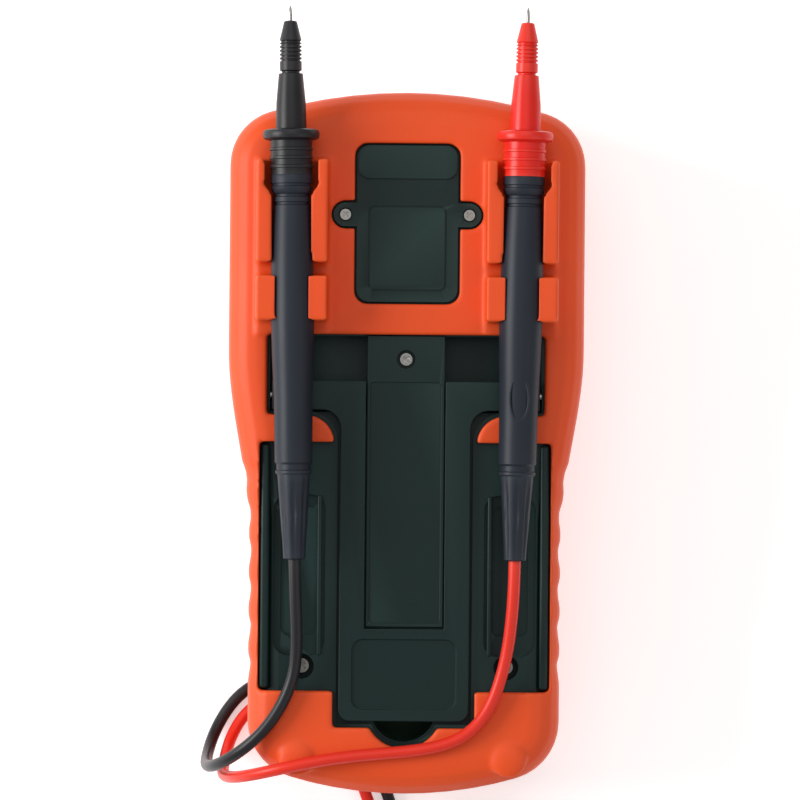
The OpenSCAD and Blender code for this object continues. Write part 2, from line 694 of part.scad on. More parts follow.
// Probe pieces, by distance from the middle of the clip
nose_end = tip_y - clip_mid - 4.2;
handle_end = clip_top - clip_mid - 4.3;
relief_top = -61.3;
relief_len = 22.8;
relief_end = relief_top - relief_len;
guard_at = handle_end + 9.9;
module needle() {
    turned([[handle_end - 6, 0.9], [nose_end, 0.9], [nose_end + 0.6, 0.55], [nose_end + 4.2, 0.1]], 24);
}
module nose() {
    ribs = 5;
    rib_pitch = 1.04;
    ribs_end = nose_end - 6.8;
    difference() {
        turned(concat(
            [[handle_end, 5.6], [guard_at - 1.2, 5.6], [guard_at - 1.1, guard_r - 0.6], [guard_at - 0.4, guard_r],
             [guard_at + 0.5, guard_r], [guard_at + 1.2, guard_r - 0.6], [guard_at + 1.3, 4.1],
             [nose_end - 20, 3.9], [nose_end - 15.2, 3.3], [nose_end - 14.8, 3.1], [nose_end - 14.6, 2.4],
             [nose_end - 14, 2.9], [ribs_end - ribs*rib_pitch, 2.9]],
            [for (i = [ribs - 1:-1:0]) for (k = [0, 1]) [ribs_end - (i + 0.9 - 0.45*k)*rib_pitch, k == 0 ? 2.5 : 2.95]],
            [[ribs_end, 2.5], [ribs_end + 0.4, 2.95], [nose_end - 0.3, 1.7], [nose_end, 1.4]]));
        turned([[handle_end - 7, 0.92], [nose_end + 1, 0.92]], 24);
    }
}
module handle() {
    difference() {
        turned([[relief_top, 4.7], [relief_top + 0.6, 5], [relief_top + 1.6, 4.6], [relief_top + 2.6, 5.2],
                [-35, 5.2], [-24, grip_r], [0, grip_r], [handle_end - 8, 4.75], [handle_end - 5.6, 4.9],
                [handle_end - 3.4, 5.55], [handle_end, 5.6]]);
        turned([[handle_end - 6.1, 0.92], [handle_end + 1, 0.92]], 24);
    }
}
module relief() {
    turned([[relief_end, 2.6], [relief_end + 0.6, 3.05], [relief_top, 4.45]]);
}
module black_needle() { color([0.8, 0.75, 0.65]) placed() on_probe(-1) needle(); }
module black_nose() { color([0.06, 0.06, 0.07]) placed() on_probe(-1) nose(); }
module black_handle() { color([0.15, 0.17, 0.2]) placed() on_probe(-1) handle(); }
module black_relief() { color([0.16, 0.18, 0.21]) placed() on_probe(-1) relief(); }
module red_needle() { color([0.8, 0.75, 0.65]) placed() on_probe(1) needle(); }
module red_nose() { color([0.85, 0.1, 0.08]) placed() on_probe(1) nose(); }
module red_handle() { color([0.15, 0.17, 0.2]) placed() on_probe(1) handle(); }
module red_relief() { color([0.16, 0.18, 0.21]) placed() on_probe(1) relief(); }

// Test leads. Each route runs from its probe over the meter's back, down past
// its corner, under the raised front and out to its coil.
function norm3(v) = v/norm(v);
function tangent(p, i) = norm3(p[min(i + 1, len(p) - 1)] - p[max(i - 1, 0)]);
function across(u, t) = norm3(u - (u*t)*t);
function frames(p) = [for (i = 0, u = across([0, 0, 1], tangent(p, 0)); i < len(p);
                           i = i + 1, u = i < len(p) ? across(u, tangent(p, i)) : u) u];
module tube(p, r, sides = 8) {
    f = frames(p);
    n = len(p);
    points = [for (i = [0:n - 1]) let (t = tangent(p, i), v = cross(t, f[i])) for (j = [0:sides - 1])
              p[i] + r*(cos(360*j/sides)*f[i] + sin(360*j/sides)*v)];
    walls = [for (i = [0:n - 2]) for (j = [0:sides - 1]) let (k = (j + 1)%sides)
             [i*sides + j, (i + 1)*sides + j, (i + 1)*sides + k, i*sides + k]];
    polyhedron(points, concat(walls, [[for (j = [0:sides - 1]) j]],
                              [[for (j = [sides - 1:-1:0]) (n - 1)*sides + j]]));
}
black_route = [[-29.6, -42.4, 56.2], [-29.4, -50, 55.8], [-29, -58, 54.7], [-28.8, -66, 53.2],
               [-29.4, -73, 52.1], [-31.3, -79, 51.7], [-34.5, -85, 51.6], [-38.5, -90, 51.2],
               [-43, -94, 49.6], [-47.5, -97.2, 46], [-51, -99.2, 40.5], [-53, -100, 33],
               [-54, -100.2, 24.5], [-54.4, -99.8, 16], [-54.3, -98, 8.5], [-53.2, -94, 3.4],
               [-50.8, -88.8, 1.9], [-46.8, -83, 1.7], [-41.5, -79, 1.7], [-35, -76.8, 1.7],
               [-28, -76.6, 1.7], [-21, -78.5, 1.7], [-15, -83, 1.7], [-11, -89.6, 1.7],
               [-8.4, -97, 1.7], [-6, -105, 1.7], [-3, -113, 1.7], [-0.4, -121, 1.7],
               [1.1, -130, 1.7], [1.5, -140, 1.7]];
red_route = [[29.6, -42.4, 56.2], [29.5, -50, 55.9], [29, -58, 54.9], [28.1, -66, 53.5],
             [26.4, -74, 52.3], [23.8, -81.6, 51.7], [19.2, -88.4, 51.5], [12, -92.4, 51.5],
             [3, -94, 51.5], [-6, -94.8, 51.5], [-15, -95.6, 52], [-24, -97, 52.9],
             [-32, -98.8, 52.6], [-39.6, -100.8, 49], [-44.9, -102.2, 42.5], [-47.6, -102.8, 34],
             [-49.2, -103, 25.5], [-49.8, -102.4, 17], [-49.6, -99.8, 9.5], [-48.6, -95.4, 3.8],
             [-46.4, -90.6, 1.9], [-43.2, -86.4, 1.7], [-38.5, -83.2, 1.7], [-33, -81.9, 1.7],
             [-27, -82.3, 1.7], [-21.4, -85.2, 1.7], [-17.4, -90.2, 1.7], [-14.6, -97, 1.7],
             [-12, -105, 1.7], [-9, -113, 1.7], [-6.4, -121, 1.7], [-4.9, -130, 1.7], [-4.5, -140, 1.7]];
black_tail = [[24, -162.5, 4.95], [31, -162.5, 5.3], [34, -162.5, 5.35]];
red_tail = [[-27, -162.5, 4.95], [-34, -162.5, 5.3], [-37, -162.5, 5.35]];
black_centre = [24, -140];
red_centre = [-27, -140];
coil_in = 12.3;
coil_out = 24.2;
coil_h = 6.7;
module coil(c) {
    translate([c[0], c[1], 0]) rotate_extrude($fn = 64)
        polygon([[coil_in, 0], [coil_out, 0], [coil_out, coil_h - 1.2], [coil_out - 1.2, coil_h],
                 [coil_in + 1.2, coil_h], [coil_in, coil_h - 1.2]]);
}
module tie(c) {
    translate([c[0], c[1], 0]) difference() {
        block(-2.5, 2.5, coil_in - 1.2, coil_out + 1.1, 0, coil_h + 1.1);
        block(-3, 3, coil_in - 0.3, coil_out + 0.1, -1, coil_h + 0.1);
    }
}
plug_z = 5.35;
plug_len = 42;
module plug() {
    difference() {
        turned([[0, 2.3], [10, 3.4], [10.2, 4.8], [11.4, 5.3], [26, 5.3], [26.4, 5], [plug_len, 5]]);
        turned([[-1, lead_d/2], [3, lead_d/2]], 24);
        turned([[27, 4.1], [plug_len + 1, 4.1]]);
        turned([[20, 2.02], [28, 2.02]], 32);
    }
}
module plug_pin() {
    turned([[20.1, 2], [39, 2], [40.5, 1.2], [41, 0.6]], 32);
}
module black_lead() {
    color([0.1, 0.1, 0.11]) {
        tube(black_route, lead_d/2);
        tube(black_tail, lead_d/2);
    }
}
module red_lead() {
    color([0.85, 0.1, 0.08]) {
        tube(red_route, lead_d/2);
        tube(red_tail, lead_d/2);
    }
}
module black_coil() { color([0.1, 0.1, 0.11]) coil(black_centre); }
module red_coil() { color([0.85, 0.1, 0.08]) coil(red_centre); }
module black_tie() { color([0.15, 0.15, 0.15]) tie(black_centre); }
module red_tie() { color([0.15, 0.15, 0.15]) tie(red_centre); }
module at_plug(tail, side) {
    translate([tail[1][0], tail[1][1], plug_z]) rotate([0, 0, -side*90]) children();
}
module black_plug() { color([0.08, 0.08, 0.09]) at_plug(black_tail, 1) plug(); }
module black_plug_pin() { color([0.85, 0.75, 0.45]) at_plug(black_tail, 1) plug_pin(); }
module red_plug() { color([0.85, 0.1, 0.08]) at_plug(red_tail, -1) plug(); }
module red_plug_pin() { color([0.85, 0.75, 0.45]) at_plug(red_tail, -1) plug_pin(); }

boot();
rear_case();
front_case();
battery_cover();
battery_cover_screw();
hanger_plate();
hanger_screws();
case_screws();
tilt_stand();
stand_pins();
display_lens();
display_panel();
display_frame();
contact_strips();
main_board();
converter_chip();
buzzer();
current_shunt();
small_fuse();
large_fuse();
fuse_clips();
battery();
battery_snap();
jack_bezels();
jack_sleeves();
selector_knob();
contact_rotor();
rotor_contacts();
detent_balls();
key_power();
key_hold();
key_range();
key_light();
key_switches();
black_needle();
black_nose();
black_handle();
black_relief();
red_needle();
red_nose();
red_handle();
red_relief();
black_lead();
black_coil();
black_tie();
black_plug();
black_plug_pin();
red_lead();
red_coil();
red_tie();
red_plug();
red_plug_pin();
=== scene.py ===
# %% [markdown]
# # A handheld multimeter, lying on its face
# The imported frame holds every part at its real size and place, and this script adds the looks
# around it. The parts could be modelled afresh here, but starting from the frame keeps each
# piece where it works. Lengths are written in millimetres and turned into metres by `MM`.

# %% Load the frame
import json
import math

import bpy
from mathutils import Matrix, Vector


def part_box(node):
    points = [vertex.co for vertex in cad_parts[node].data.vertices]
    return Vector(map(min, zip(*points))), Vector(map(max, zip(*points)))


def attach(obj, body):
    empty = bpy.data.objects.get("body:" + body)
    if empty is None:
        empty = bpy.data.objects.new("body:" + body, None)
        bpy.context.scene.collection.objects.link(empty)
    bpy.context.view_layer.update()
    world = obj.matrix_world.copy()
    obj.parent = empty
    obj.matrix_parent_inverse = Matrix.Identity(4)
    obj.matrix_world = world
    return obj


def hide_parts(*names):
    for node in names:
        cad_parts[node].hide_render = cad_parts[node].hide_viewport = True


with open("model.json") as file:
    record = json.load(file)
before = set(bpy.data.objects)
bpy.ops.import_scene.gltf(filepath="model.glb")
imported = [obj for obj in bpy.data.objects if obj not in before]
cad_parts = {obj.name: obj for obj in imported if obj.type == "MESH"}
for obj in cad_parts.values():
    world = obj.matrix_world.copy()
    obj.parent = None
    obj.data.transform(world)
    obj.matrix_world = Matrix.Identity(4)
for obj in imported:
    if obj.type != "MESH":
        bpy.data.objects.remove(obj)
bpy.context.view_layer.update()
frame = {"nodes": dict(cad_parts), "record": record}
MM = 0.001
slot_of = {part["node"]: part["material_slot"] for part in frame["record"]["subparts"]}
bodies = frame["record"]["behaviour"]["bodies"]
body_of = {node: body for body, nodes in bodies.items() for node in nodes}
print("nodes", len(frame["nodes"]), "slots", len(set(slot_of.values())))


# %% [markdown]
# An operator acts on all that is selected, so one helper leaves a single object selected, and
# another adds a modifier and applies it. Each finished piece also has to hang from the body
# that carries it and hide the parts that it stands for. Those lines could be written out for
# every piece, but a helper can't forget one of them.

# %% Small helpers
def only(piece):
    """Makes one object the only thing selected, so that operators act on it alone."""
    bpy.ops.object.select_all(action="DESELECT")
    piece.select_set(True)
    bpy.context.view_layer.objects.active = piece


def applied(piece, name, kind, **settings):
    """Adds a modifier to the active piece, sets it and applies it."""
    modifier = piece.modifiers.new(name, kind)
    for key, value in settings.items():
        setattr(modifier, key, value)
    bpy.ops.object.modifier_apply(modifier=modifier.name)


def middle(node):
    """The centre of a node's box."""
    low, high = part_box(node)
    return (Vector(low) + Vector(high)) / 2


def keep(piece, *nodes, slot=None, body=None):
    """Seats a finished piece on its body and hides the nodes it stands for. slot is not used."""
    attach(piece, body or body_of[nodes[0]])
    if nodes:
        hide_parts(*nodes)
    return piece


# %% [markdown]
# The camera looks straight down from far away, as a catalogue camera does, so the sides of
# the boot hardly show. A camera with no perspective would give nearly the same view, but a
# long lens keeps the little perspective that a real one has. The lens is chosen so that the
# view is 216 mm wide at the meter's back, and the camera is rolled by half a degree.

# %% Camera
VIEW_WIDTH = 216 * MM
DISTANCE = 1.3
BACK_CENTRE = (-1.6, 0.6, 49.5)
ROLL = math.radians(0.5)
camera_data = bpy.data.cameras.new("camera")
camera_data.sensor_width = 36
camera_data.lens = camera_data.sensor_width * DISTANCE / VIEW_WIDTH
camera_data.clip_end = 20
camera = bpy.data.objects.new("camera", camera_data)
camera.location = Vector(BACK_CENTRE) * MM + Vector((0, 0, DISTANCE))
camera.rotation_euler = (0, 0, ROLL)
bpy.context.collection.objects.link(camera)
bpy.context.scene.camera = camera
bpy.context.scene.view_settings.view_transform = "Standard"
print("lens", round(camera_data.lens, 1))


# %% [markdown]
# One broad soft light stands at the left and gives the rubber its pale left edges. A weaker
# one fills from the right, a third lights the top end, and a pale sky keeps the shadows open.
# A sun lamp would be simpler, but its hard shadows don't suit soft rubber. The floor lies a
# tenth of a millimetre under the bumpers, so the two never share a plane.

# %% Lights, sky and floor
SKY_STRENGTH = 0.4
FLOOR_DROP = 0.1 * MM


def soft_light(name, place, size, power):
    """A square lamp that faces the meter. Its place and size are in metres."""
    data = bpy.data.lights.new(name, "AREA")
    data.size = size
    data.energy = power
    lamp = bpy.data.objects.new(name, data)
    lamp.location = place
    lamp.rotation_euler = (-Vector(place)).to_track_quat("-Z", "Y").to_euler()
    bpy.context.collection.objects.link(lamp)


soft_light("key_light_panel", (-0.85, 0.1, 0.5), 0.5, 8)
soft_light("fill_light_panel", (0.8, -0.35, 0.8), 0.8, 1.5)
soft_light("top_light_panel", (0.05, 0.5, 1.1), 0.9, 2.6)
world = bpy.data.worlds.new("studio")
world.use_nodes = True
sky = world.node_tree.nodes["Background"]
sky.inputs["Color"].default_value = (1, 1, 1, 1)
sky.inputs["Strength"].default_value = SKY_STRENGTH
bpy.context.scene.world = world
bpy.ops.mesh.primitive_plane_add(size=8, location=(0, 0, -FLOOR_DROP))
floor = bpy.context.object
floor.name = "studio_floor"
print("lights", len(bpy.data.lights))


# %% [markdown]
# Moulded parts are never one flat colour: the tone drifts slowly across them, the surface has
# a fine grain, and handling polishes the edges. Each material could hold its own copy of the
# nodes for this. Both effects are node groups instead, so they are built once and every
# material places them with its own values.

# %% Shared effects
MIX_FACTOR, MIX_FIRST, MIX_SECOND, MIX_RESULT = 0, 6, 7, 2
EDGE_STARTS, EDGE_ENDS, EDGE_STRENGTH = 0.52, 0.62, 0.6
PATCH_SCALE = 40


def socket(tree, name, kind, side, value=None):
    """Adds one named input or output to a node group."""
    made = tree.interface.new_socket(name=name, in_out=side, socket_type="NodeSocket" + kind)
    if value is not None:
        made.default_value = value


def colour_mix(tree, factor, first, second):
    """Mixes two colours and returns the socket that the result leaves by."""
    mix = tree.nodes.new("ShaderNodeMix")
    mix.data_type = "RGBA"
    for place, source in ((MIX_FACTOR, factor), (MIX_FIRST, first), (MIX_SECOND, second)):
        tree.links.new(source, mix.inputs[place])
    return mix.outputs[MIX_RESULT]


def grain_group():
    """Slow drift of tone and gloss, and the height of a fine grain."""
    tree = bpy.data.node_groups.new("moulded_grain", "ShaderNodeTree")
    for name, kind, value in (("Tone", "Color", None), ("Shade", "Color", None),
                              ("Patch Scale", "Float", PATCH_SCALE),
                              ("Grain Scale", "Float", 2600),
                              ("Smooth", "Float", 0.4), ("Rough", "Float", 0.5)):
        socket(tree, name, kind, "INPUT", value)
    for name, kind in (("Color", "Color"), ("Roughness", "Float"), ("Height", "Float")):
        socket(tree, name, kind, "OUTPUT")
    nodes, links = tree.nodes, tree.links
    inp, out = nodes.new("NodeGroupInput"), nodes.new("NodeGroupOutput")
    where = nodes.new("ShaderNodeTexCoord")
    patches, grain = nodes.new("ShaderNodeTexNoise"), nodes.new("ShaderNodeTexNoise")
    patches.inputs["Detail"].default_value = 4
    grain.inputs["Detail"].default_value = 2
    gloss = nodes.new("ShaderNodeMapRange")
    for noise, scale in ((patches, "Patch Scale"), (grain, "Grain Scale")):
        links.new(where.outputs["Object"], noise.inputs["Vector"])
        links.new(inp.outputs[scale], noise.inputs["Scale"])
    drift = colour_mix(tree, patches.outputs["Fac"], inp.outputs["Tone"], inp.outputs["Shade"])
    links.new(patches.outputs["Fac"], gloss.inputs["Value"])
    links.new(inp.outputs["Smooth"], gloss.inputs["To Min"])
    links.new(inp.outputs["Rough"], gloss.inputs["To Max"])
    links.new(drift, out.inputs["Color"])
    links.new(gloss.outputs["Result"], out.inputs["Roughness"])
    links.new(grain.outputs["Fac"], out.inputs["Height"])
    return tree


def wear_group():
    """Paler colour where an edge stands out, as handling leaves it."""
    tree = bpy.data.node_groups.new("edge_wear", "ShaderNodeTree")
    for name, side in (("Color", "INPUT"), ("Worn", "INPUT"), ("Color", "OUTPUT")):
        socket(tree, name, "Color", side)
    nodes, links = tree.nodes, tree.links
    inp, out = nodes.new("NodeGroupInput"), nodes.new("NodeGroupOutput")
    shape, edge = nodes.new("ShaderNodeNewGeometry"), nodes.new("ShaderNodeMapRange")
    edge.inputs["From Min"].default_value = EDGE_STARTS
    edge.inputs["From Max"].default_value = EDGE_ENDS
    edge.inputs["To Max"].default_value = EDGE_STRENGTH
    links.new(shape.outputs["Pointiness"], edge.inputs["Value"])
    worn = colour_mix(tree, edge.outputs["Result"], inp.outputs["Color"], inp.outputs["Worn"])
    links.new(worn, out.inputs["Color"])
    return tree


GRAIN = grain_group()
WEAR = wear_group()
print("effects", GRAIN.name, WEAR.name)


# %% [markdown]
# A finish is given by its tone, the darker shade that the tone drifts to, the paler colour of
# worn edges, and its range of roughness. The grain is a few hundredths of a millimetre deep on
# rubber and far finer on metal. A painted image could hold all this, but a pattern made by
# nodes stays sharp at any distance and needs no file.

# %% How a finish is made
FINISHES = {}


def finish(name, tone, shade, worn, rough, grain_mm=0.02, grain_scale=2600, metal=0.0,
           shine=0.3):
    """One moulded, cast or drawn surface, kept in FINISHES by its name."""
    material = bpy.data.materials.new(name)
    material.use_nodes = True
    nodes, links = material.node_tree.nodes, material.node_tree.links
    shader = nodes["Principled BSDF"]
    shader.inputs["Metallic"].default_value = metal
    shader.inputs["Specular IOR Level"].default_value = 0.5 if metal else shine
    grain, wear = nodes.new("ShaderNodeGroup"), nodes.new("ShaderNodeGroup")
    bump = nodes.new("ShaderNodeBump")
    grain.node_tree = GRAIN
    wear.node_tree = WEAR
    for key, value in (("Tone", (*tone, 1)), ("Shade", (*shade, 1)),
                       ("Grain Scale", grain_scale), ("Patch Scale", PATCH_SCALE),
                       ("Smooth", rough[0]), ("Rough", rough[1])):
        grain.inputs[key].default_value = value
    wear.inputs["Worn"].default_value = (*worn, 1)
    bump.inputs["Distance"].default_value = grain_mm * MM
    links.new(grain.outputs["Color"], wear.inputs["Color"])
    links.new(wear.outputs["Color"], shader.inputs["Base Color"])
    links.new(grain.outputs["Roughness"], shader.inputs["Roughness"])
    links.new(grain.outputs["Height"], bump.inputs["Height"])
    links.new(bump.outputs["Normal"], shader.inputs["Normal"])
    FINISHES[name] = material
    return material


def clear_window(name):
    """The display's clear, faintly green plastic."""
    material = bpy.data.materials.new(name)
    material.use_nodes = True
    shader = material.node_tree.nodes["Principled BSDF"]
    shader.inputs["Base Color"].default_value = (0.86, 0.9, 0.88, 1)
    shader.inputs["Transmission Weight"].default_value = 1
    shader.inputs["Roughness"].default_value = 0.04
    FINISHES[name] = material


# %% [markdown]
# These are the meter's own surfaces: warm orange rubber with a satin skin, a green so dark
# that it is nearly black, slate-coloured handles that are dull to the touch, and the metals,
# boards and prints inside. Colours could be picked by eye in the viewport, but written side
# by side they can be compared, and one that is out of step is easy to see.

# %% The meter's finishes
finish("boot_rubber", (0.84, 0.088, 0.014), (0.76, 0.072, 0.011), (0.92, 0.17, 0.05),
       rough=(0.42, 0.55), grain_mm=0.03)
finish("case_green", (0.005, 0.02, 0.018), (0.004, 0.015, 0.014), (0.02, 0.05, 0.045),
       rough=(0.36, 0.48), shine=0.25)
finish("case_dark", (0.02, 0.024, 0.027), (0.015, 0.018, 0.02), (0.06, 0.065, 0.07),
       rough=(0.4, 0.52))
finish("screw_steel", (0.36, 0.35, 0.33), (0.28, 0.27, 0.25), (0.5, 0.49, 0.47),
       rough=(0.22, 0.36), grain_mm=0.004, grain_scale=6000, metal=1.0)
finish("display_glass", (0.36, 0.41, 0.33), (0.32, 0.37, 0.3), (0.4, 0.45, 0.37),
       rough=(0.12, 0.2), grain_mm=0.002)
finish("strip_rubber", (0.75, 0.35, 0.4), (0.65, 0.3, 0.35), (0.8, 0.45, 0.5),
       rough=(0.5, 0.6))
finish("board_green", (0.02, 0.16, 0.07), (0.015, 0.12, 0.05), (0.05, 0.2, 0.1),
       rough=(0.25, 0.35))
finish("black_plastic", (0.014, 0.014, 0.016), (0.01, 0.01, 0.012), (0.05, 0.05, 0.055),
       rough=(0.32, 0.45))
finish("shunt_metal", (0.6, 0.42, 0.25), (0.5, 0.34, 0.2), (0.7, 0.5, 0.32),
       rough=(0.25, 0.4), grain_mm=0.004, grain_scale=5000, metal=1.0)
finish("fuse_ceramic", (0.78, 0.76, 0.7), (0.7, 0.68, 0.62), (0.85, 0.83, 0.78),
       rough=(0.2, 0.3), grain_mm=0.006)
finish("contact_brass", (0.75, 0.58, 0.28), (0.66, 0.5, 0.22), (0.85, 0.7, 0.4),
       rough=(0.2, 0.32), grain_mm=0.004, grain_scale=5000, metal=1.0)
finish("battery_jacket", (0.05, 0.05, 0.06), (0.04, 0.04, 0.05), (0.2, 0.2, 0.2),
       rough=(0.28, 0.38), grain_mm=0.004, grain_scale=3000, metal=0.4)
finish("jack_plastic", (0.5, 0.02, 0.015), (0.42, 0.016, 0.012), (0.62, 0.06, 0.04),
       rough=(0.2, 0.3), grain_mm=0.008)
finish("rotor_plastic", (0.7, 0.68, 0.62), (0.62, 0.6, 0.54), (0.76, 0.74, 0.7),
       rough=(0.4, 0.5))
finish("key_orange", (0.8, 0.16, 0.03), (0.72, 0.13, 0.025), (0.88, 0.3, 0.12),
       rough=(0.48, 0.6))
finish("key_grey", (0.24, 0.24, 0.26), (0.2, 0.2, 0.22), (0.36, 0.36, 0.38),
       rough=(0.48, 0.6))
finish("key_yellow", (0.75, 0.5, 0.05), (0.68, 0.44, 0.04), (0.82, 0.62, 0.18),
       rough=(0.48, 0.6))
finish("handle_rubber", (0.018, 0.023, 0.033), (0.014, 0.018, 0.027), (0.04, 0.048, 0.064),
       rough=(0.38, 0.5), shine=0.25)
finish("red_plastic", (0.78, 0.014, 0.007), (0.74, 0.02, 0.01), (0.9, 0.1, 0.06),
       rough=(0.28, 0.38), grain_mm=0.008)
finish("lead_black", (0.014, 0.014, 0.016), (0.011, 0.011, 0.013), (0.03, 0.03, 0.033),
       rough=(0.3, 0.42), grain_mm=0.008)
finish("lead_red", (0.8, 0.03, 0.014), (0.72, 0.025, 0.012), (0.85, 0.07, 0.04),
       rough=(0.3, 0.42), grain_mm=0.008)
finish("tie_rubber", (0.02, 0.02, 0.02), (0.015, 0.015, 0.015), (0.05, 0.05, 0.05),
       rough=(0.5, 0.62))
clear_window("lens_clear")
print("finishes", len(FINISHES))


# %% [markdown]
# The floor is white paper. Plain paper turns grey away from the lamps, so this one gives off a
# little light of its own, as a lit table does. Then every part of the frame takes the finish
# of its slot, which is all that the parts hidden inside the meter need.

# %% Paper and the frame's own parts
PAPER_GLOW = 0.45
paper = finish("studio_paper", (0.93, 0.93, 0.93), (0.91, 0.91, 0.91), (0.95, 0.95, 0.95),
               rough=(0.7, 0.8), grain_mm=0.01)
paper_shader = paper.node_tree.nodes["Principled BSDF"]
paper_shader.inputs["Emission Color"].default_value = (1, 1, 1, 1)
paper_shader.inputs["Emission Strength"].default_value = PAPER_GLOW
floor.data.materials.append(paper)
for node, thing in frame["nodes"].items():
    thing.data.materials.clear()
    thing.data.materials.append(FINISHES[slot_of[node]])
print("parts with a finish", len(frame["nodes"]))


# %% [markdown]
# ## Test leads
# A test lead is a limp silicone cable. Each one leaves its probe's strain relief, crosses the
# meter's back, bends round the lower left corner, passes under the raised front and ends in a
# coil and a plug. A simulated rope would settle somewhere new whenever a number changed. A
# route of chosen points stays put, and these are the points of the frame's own cords.

# %% Lead routes, in millimetres
LEAD_D = 3.3
black_route = [(-29.6, -42.4, 56.2), (-29.4, -50, 55.8), (-29, -58, 54.7), (-28.8, -66, 53.2),
               (-29.4, -73, 52.1), (-31.3, -79, 51.7), (-34.5, -85, 51.6), (-38.5, -90, 51.2),
               (-43, -94, 49.6), (-47.5, -97.2, 46), (-51, -99.2, 40.5), (-53, -100, 33),
               (-54, -100.2, 24.5), (-54.4, -99.8, 16), (-54.3, -98, 8.5), (-53.2, -94, 3.4),
               (-50.8, -88.8, 1.9), (-46.8, -83, 1.7), (-41.5, -79, 1.7), (-35, -76.8, 1.7),
               (-28, -76.6, 1.7), (-21, -78.5, 1.7), (-15, -83, 1.7), (-11, -89.6, 1.7),
               (-8.4, -97, 1.7), (-6, -105, 1.7), (-3, -113, 1.7), (-0.4, -121, 1.7),
               (1.1, -130, 1.7), (1.5, -140, 1.7)]
red_route = [(29.6, -42.4, 56.2), (29.5, -50, 55.9), (29, -58, 54.9), (28.1, -66, 53.5),
             (26.4, -74, 52.3), (23.8, -81.6, 51.7), (19.2, -88.4, 51.5), (12, -92.4, 51.5),
             (3, -94, 51.5), (-6, -94.8, 51.5), (-15, -95.6, 52), (-24, -97, 52.9),
             (-32, -98.8, 52.6), (-39.6, -100.8, 49), (-44.9, -102.2, 42.5), (-47.6, -102.8, 34),
             (-49.2, -103, 25.5), (-49.8, -102.4, 17), (-49.6, -99.8, 9.5), (-48.6, -95.4, 3.8),
             (-46.4, -90.6, 1.9), (-43.2, -86.4, 1.7), (-38.5, -83.2, 1.7), (-33, -81.9, 1.7),
             (-27, -82.3, 1.7), (-21.4, -85.2, 1.7), (-17.4, -90.2, 1.7), (-14.6, -97, 1.7),
             (-12, -105, 1.7), (-9, -113, 1.7), (-6.4, -121, 1.7), (-4.9, -130, 1.7),
             (-4.5, -140, 1.7)]
print("route points", len(black_route), len(red_route))


# %% [markdown]
# The spare length is wound into a flat coil, as a lead is put away. One layer winds inwards
# on the table, the lead climbs over itself, and a second layer winds outwards on top. The
# turns could be typed in like the route, but a loop keeps them evenly spaced.

# %% Coil
TURNS = 5.25
OUTER_R = 22.5
POINTS_PER_TURN = 24
CLIMB = 0.4


def coil_turns(centre, start, turn):
    """Points of the two-layer coil. The lead climbs during a share of one turn."""
    count = int(TURNS * POINTS_PER_TURN)
    points = []
    for i in range(1, count + 1):
        t = TURNS * i / count
        inward = min(t, TURNS - t)
        rise = min(1, max(0, (t - TURNS / 2 + CLIMB / 2) / CLIMB))
        angle = math.radians(start + turn * 360 * t)
        radius = OUTER_R - LEAD_D * inward
        height = LEAD_D * (0.5 + rise * rise * (3 - 2 * rise))
        points.append((centre[0] + radius * math.cos(angle),
                       centre[1] + radius * math.sin(angle), height))
    return points


# %% [markdown]
# Each lead is one smooth curve with a round section, so it bends evenly and has no joins. A
# swept mesh would do as well, but a curve keeps its centre line, from which its length can be
# measured. The plug and the tie at the far end belong to the lead.

# %% Cords
def lead(name, points, finish_name):
    """A round cable along a line of points."""
    data = bpy.data.curves.new(name, "CURVE")
    data.dimensions = "3D"
    data.bevel_depth = LEAD_D / 2 * MM
    data.bevel_resolution = 5
    data.resolution_u = 4
    data.use_fill_caps = True
    spline = data.splines.new("NURBS")
    spline.points.add(len(points) - 1)
    spline.order_u = 4
    spline.use_endpoint_u = True
    for point, place in zip(spline.points, points):
        point.co = (*(Vector(place) * MM), 1)
    piece = bpy.data.objects.new(name, data)
    bpy.context.collection.objects.link(piece)
    data.materials.append(FINISHES[finish_name])
    return piece


for colour, route, centre, start, turn, tail in (
        ("black", black_route, (24, -140), 180, 1, [(31, -162.5, 5.3), (34, -162.5, 5.35)]),
        ("red", red_route, (-27, -140), 0, -1, [(-34, -162.5, 5.3), (-37, -162.5, 5.35)])):
    points = route + coil_turns(centre, start, turn) + tail
    cable = lead(colour + "_cable", points, "lead_" + colour)
    keep(cable, colour + "_lead", colour + "_coil")


# %% [markdown]
# ## Moulded plastic
# A moulded part has no knife edges, because the cutter that makes the mould leaves its corners
# round. A shader can fake a round edge, but only geometry catches the light along a rim and
# stays in the exported mesh. So a copy of each part is cleaned of its triangles and given a
# narrow bevel. Large faces keep one straight normal each, or they would seem to sag.

# %% Bevelled copies
WELD = 0.002 * MM
FLAT_WITHIN = math.radians(0.6)
BEVEL_OVER = math.radians(32)
SMOOTH_UNDER = math.radians(38)
LARGE_FACE = 3.0 * MM * MM
SQUARE_ON = 0.9998


def clean_copy(node, ending, merge_flat=False):
    """A welded copy of a part, left active. Faces in one plane may be merged too."""
    piece = bpy.data.objects.new(node + ending, frame["nodes"][node].data.copy())
    bpy.context.collection.objects.link(piece)
    only(piece)
    bpy.ops.mesh.customdata_custom_splitnormals_clear()
    bpy.ops.object.mode_set(mode="EDIT")
    bpy.ops.mesh.select_all(action="SELECT")
    bpy.ops.mesh.remove_doubles(threshold=WELD)
    if merge_flat:
        bpy.ops.mesh.dissolve_limited(angle_limit=FLAT_WITHIN)
    bpy.ops.object.mode_set(mode="OBJECT")
    return piece


